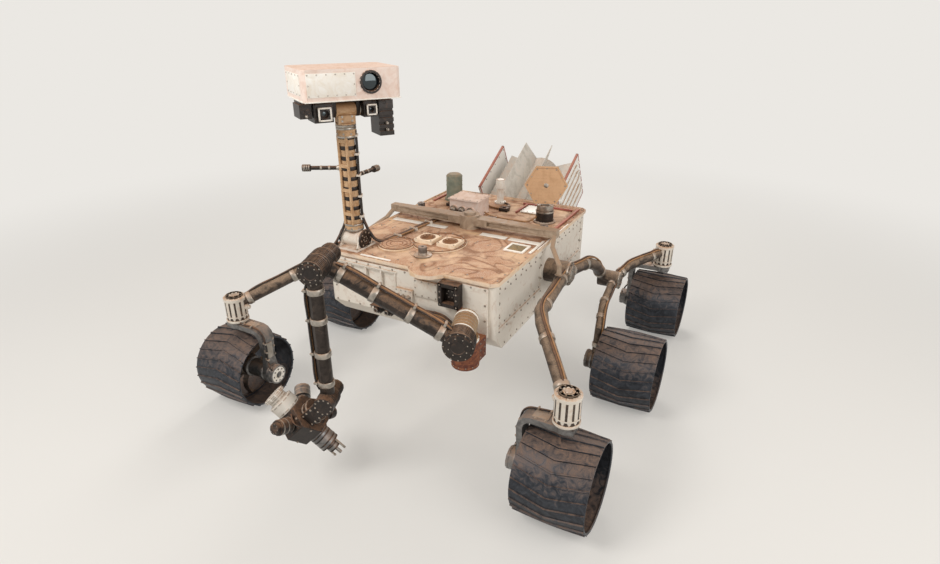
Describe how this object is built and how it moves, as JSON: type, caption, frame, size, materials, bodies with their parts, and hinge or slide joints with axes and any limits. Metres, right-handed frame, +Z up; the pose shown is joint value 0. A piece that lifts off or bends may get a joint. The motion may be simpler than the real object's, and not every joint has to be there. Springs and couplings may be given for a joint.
{
  "type": "planetary rover",
  "caption": "Six-wheeled planetary rover with rocker-bogie suspension, camera mast, jointed tool arm, dish antenna and a finned power source at the stern.",
  "frame": {"origin": "on the ground under the middle of the whole outline, arm as stored", "axes": "+Z up, -Y to the front, +X to the rover's port side"},
  "size_m": [2.8, 3.2814, 2.1909],
  "materials": {
    "dusty_white_paint": "satin white paint under ochre dust",
    "clean_white_paint": "satin white paint",
    "wheel_aluminium": "dark anodised, worn and dusty",
    "tube_metal": "dark tube under ochre dust",
    "machined_aluminium": "machined, satin",
    "dark_housing": "dark anodised, dusty",
    "dish_paint": "matt paint under dust",
    "graphite_coating": "matt light grey coating"
  },
  "bodies": {
    "wheel_front_left": {"wheel_front_left": "wheel_aluminium"},
    "knuckle_front_left": {"knuckle_front_left": "machined_aluminium"},
    "wheel_front_right": {"wheel_front_right": "wheel_aluminium"},
    "knuckle_front_right": {"knuckle_front_right": "machined_aluminium"},
    "wheel_middle_left": {"wheel_middle_left": "wheel_aluminium"},
    "wheel_middle_right": {"wheel_middle_right": "wheel_aluminium"},
    "wheel_rear_left": {"wheel_rear_left": "wheel_aluminium"},
    "knuckle_rear_left": {"knuckle_rear_left": "machined_aluminium"},
    "wheel_rear_right": {"wheel_rear_right": "wheel_aluminium"},
    "knuckle_rear_right": {"knuckle_rear_right": "machined_aluminium"},
    "mast_head_yoke": {"head_yoke": "dark_housing"},
    "mast_head": {"camera_bar": "dark_housing", "telescope_box": "dusty_white_paint"},
    "dish_yoke": {"dish_gimbal": "dusty_white_paint"},
    "dish": {"dish": "dish_paint"},
    "shoulder": {"shoulder_yoke": "dark_housing"},
    "upper_arm": {"upper_arm": "tube_metal"},
    "forearm": {"forearm": "tube_metal"},
    "wrist": {"wrist": "dark_housing"},
    "turret": {"turret": "dark_housing", "drill": "dark_housing", "sample_processor": "dark_housing", "lens_camera": "dark_housing", "sensor_head": "dark_housing", "brush": "dark_housing"},
    "rover": {"rocker_left": "tube_metal", "bogie_left": "tube_metal", "rocker_right": "tube_metal", "bogie_right": "tube_metal", "chassis": "dusty_white_paint", "top_deck": "dusty_white_paint", "front_panel": "dusty_white_paint", "differential_bar": "dusty_white_paint", "mast_base": "dusty_white_paint", "mast_tube": "dusty_white_paint", "sensor_booms": "tube_metal", "dish_base": "dusty_white_paint", "shoulder_housing": "dark_housing", "power_source": "graphite_coating", "power_cradle": "tube_metal", "heat_exchangers": "clean_white_paint", "uhf_antenna": "dusty_white_paint", "low_gain_antenna": "dusty_white_paint", "bridle_sockets": "dusty_white_paint", "pyro_box": "dusty_white_paint", "sample_inlets": "dusty_white_paint", "front_cameras": "dark_housing", "rear_cameras": "dark_housing"}
  },
  "joints": [
    {"name": "steer_front_left", "type": "hinge", "parent": "rover", "child": "knuckle_front_left", "pos_m": [1.15, -1.01809, 0.258], "axis": [0, 0, 1], "range_deg": [-90, 90]},
    {"name": "roll_front_left", "type": "hinge", "parent": "knuckle_front_left", "child": "wheel_front_left", "pos_m": [1.15, -1.01809, 0.258], "axis": [1, 0, 0], "continuous": true},
    {"name": "steer_front_right", "type": "hinge", "parent": "rover", "child": "knuckle_front_right", "pos_m": [-1.15, -1.01809, 0.258], "axis": [0, 0, 1], "range_deg": [-90, 90]},
    {"name": "roll_front_right", "type": "hinge", "parent": "knuckle_front_right", "child": "wheel_front_right", "pos_m": [-1.15, -1.01809, 0.258], "axis": [1, 0, 0], "continuous": true},
    {"name": "roll_middle_left", "type": "hinge", "parent": "rover", "child": "wheel_middle_left", "pos_m": [1.2, 0.1619, 0.258], "axis": [1, 0, 0], "continuous": true},
    {"name": "roll_middle_right", "type": "hinge", "parent": "rover", "child": "wheel_middle_right", "pos_m": [-1.2, 0.1619, 0.258], "axis": [1, 0, 0], "continuous": true},
    {"name": "steer_rear_left", "type": "hinge", "parent": "rover", "child": "knuckle_rear_left", "pos_m": [1.15, 1.28191, 0.258], "axis": [0, 0, 1], "range_deg": [-90, 90]},
    {"name": "roll_rear_left", "type": "hinge", "parent": "knuckle_rear_left", "child": "wheel_rear_left", "pos_m": [1.15, 1.28191, 0.258], "axis": [1, 0, 0], "continuous": true},
    {"name": "steer_rear_right", "type": "hinge", "parent": "rover", "child": "knuckle_rear_right", "pos_m": [-1.15, 1.28191, 0.258], "axis": [0, 0, 1], "range_deg": [-90, 90]},
    {"name": "roll_rear_right", "type": "hinge", "parent": "knuckle_rear_right", "child": "wheel_rear_right", "pos_m": [-1.15, 1.28191, 0.258], "axis": [1, 0, 0], "continuous": true},
    {"name": "mast_pan", "type": "hinge", "parent": "rover", "child": "mast_head_yoke", "pos_m": [-0.47, -0.5681, 1.95], "axis": [0, 0, 1], "range_deg": [-180, 180]},
    {"name": "mast_tilt", "type": "hinge", "parent": "mast_head_yoke", "child": "mast_head", "pos_m": [-0.47, -0.5681, 1.95], "axis": [0.5446, 0.8387, 0], "range_deg": [-87, 87]},
    {"name": "dish_azimuth", "type": "hinge", "parent": "rover", "child": "dish_yoke", "pos_m": [0.42, 0.46191, 1.38], "axis": [0, 0, 1], "range_deg": [-180, 180]},
    {"name": "dish_elevation", "type": "hinge", "parent": "dish_yoke", "child": "dish", "pos_m": [0.42, 0.46191, 1.38], "axis": [-0.9397, -0.342, 0], "range_deg": [0, 90]},
    {"name": "arm_azimuth", "type": "hinge", "parent": "rover", "child": "shoulder", "pos_m": [0.48, -0.8431, 0.895], "axis": [0, 0, 1], "range_deg": [-20, 80]},
    {"name": "arm_elevation", "type": "hinge", "parent": "shoulder", "child": "upper_arm", "pos_m": [0.5484, -1.03103, 0.895], "axis": [-0.342, 0.9397, 0], "range_deg": [-50, 70]},
    {"name": "arm_elbow", "type": "hinge", "parent": "upper_arm", "child": "forearm", "pos_m": [-0.083, -1.37258, 1.305], "axis": [-0.342, 0.9397, 0], "range_deg": [-30, 120]},
    {"name": "arm_wrist", "type": "hinge", "parent": "forearm", "child": "wrist", "pos_m": [-0.083, -1.37258, 0.545], "axis": [0.342, -0.9397, 0], "range_deg": [-40, 120]},
    {"name": "arm_turret", "type": "hinge", "parent": "wrist", "child": "turret", "pos_m": [-0.18486, -1.40966, 0.4366], "axis": [-0.6645, -0.2418, -0.7071], "range_deg": [-175, 175]}
  ]
}
